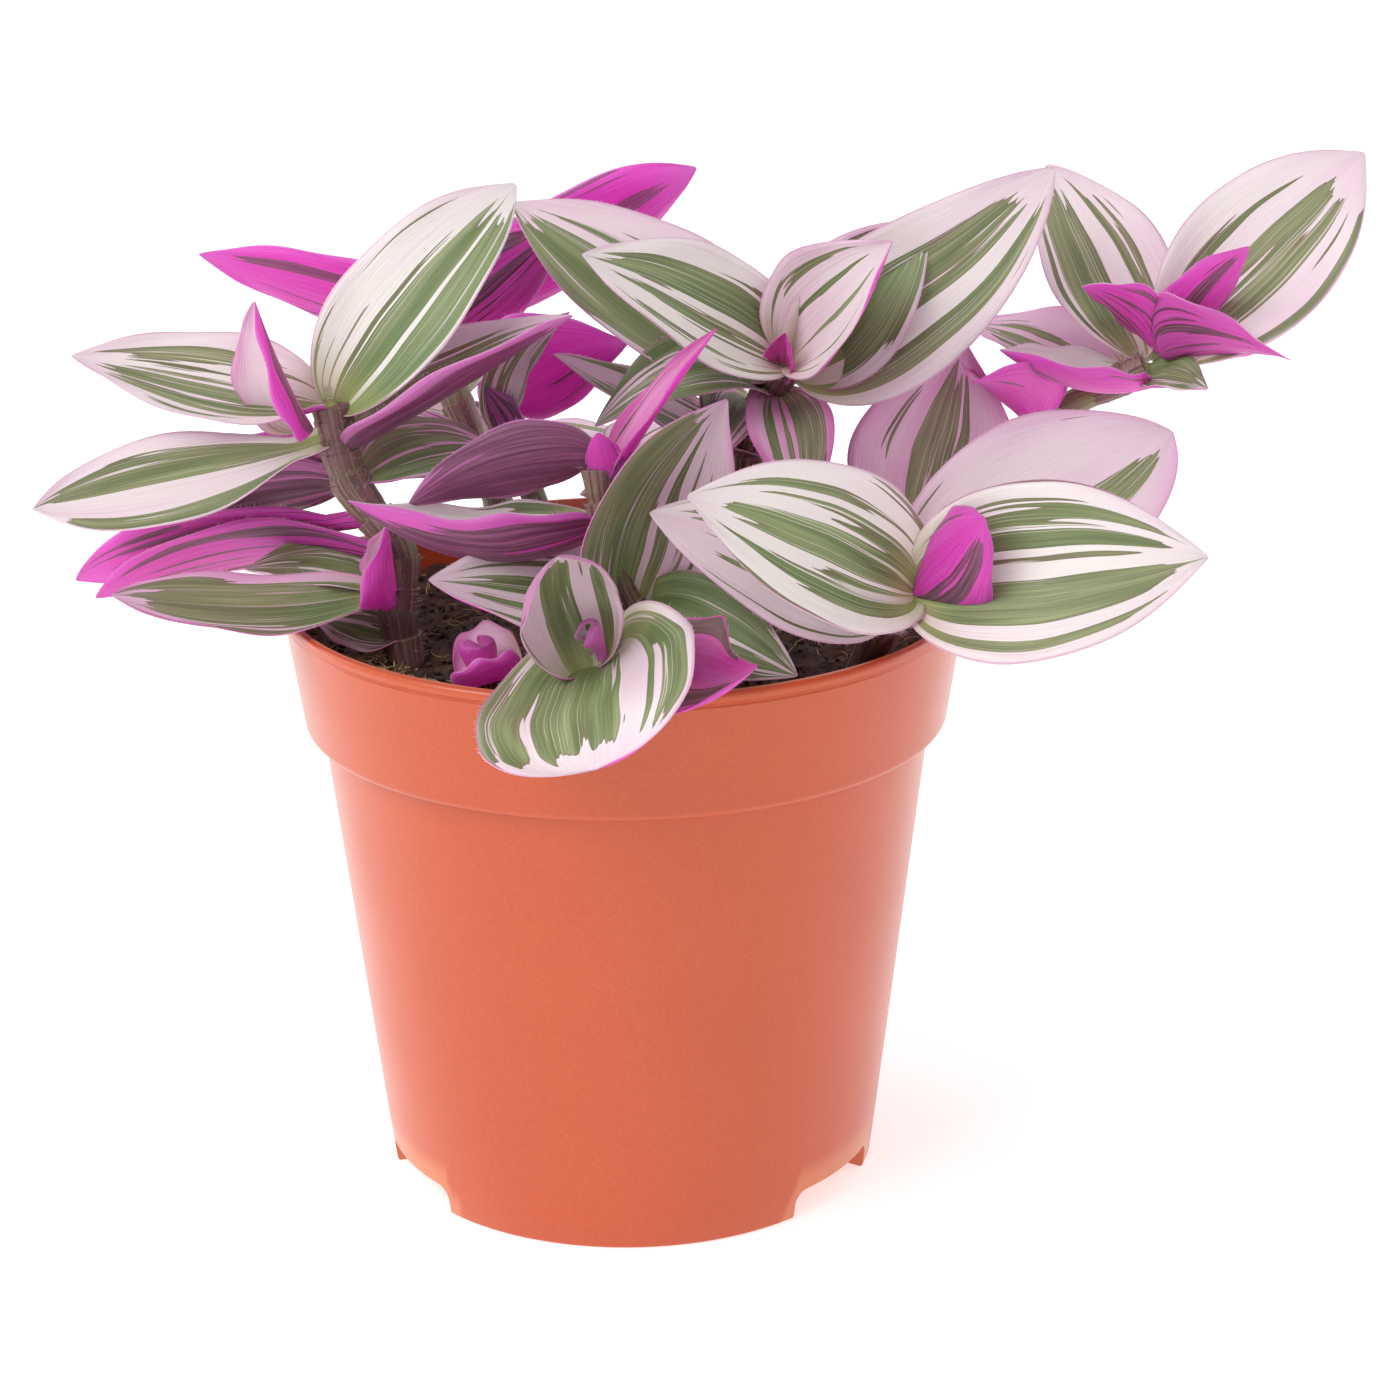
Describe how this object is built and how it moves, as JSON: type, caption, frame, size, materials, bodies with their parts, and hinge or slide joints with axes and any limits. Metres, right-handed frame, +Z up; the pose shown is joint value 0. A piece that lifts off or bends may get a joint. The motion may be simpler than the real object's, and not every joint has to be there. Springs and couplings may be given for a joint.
{
  "type": "potted tradescantia",
  "caption": "Round tapered plant pot with a stepped collar and cut-away feet, holding peat and trailing shoots of striped, pink-edged leaves.",
  "frame": {"origin": "the middle of the bottom of the whole part's bounding box, on the surface that the pot stands on; the pot's own axis stands 16 mm towards -X of it", "axes": "+X along the longest extent, across the leaves from left to right as the plant is seen from its front; +Y from the front to the back; -Z is the outward normal of the feet, so +Z is up"},
  "size_m": [0.2284, 0.1758, 0.1776],
  "materials": {
    "pot_plastic": "satin moulded terracotta-coloured plastic",
    "potting_soil": "damp dark peat with pale fibres",
    "foliage": "soft satin leaves, cream to pink with green lengthwise stripes above, magenta below, fine hairs at the margin"
  },
  "bodies": {
    "root": {"pot": "pot_plastic", "soil": "potting_soil", "shoot_left_front": "foliage", "shoot_back_left": "foliage", "shoot_centre_back": "foliage", "shoot_centre_top": "foliage", "shoot_right_back": "foliage", "shoot_right_front": "foliage", "shoot_front_over_rim": "foliage", "shoot_rolled_up": "foliage", "shoot_centre_front": "foliage", "shoot_back": "foliage"}
  },
  "joints": []
}
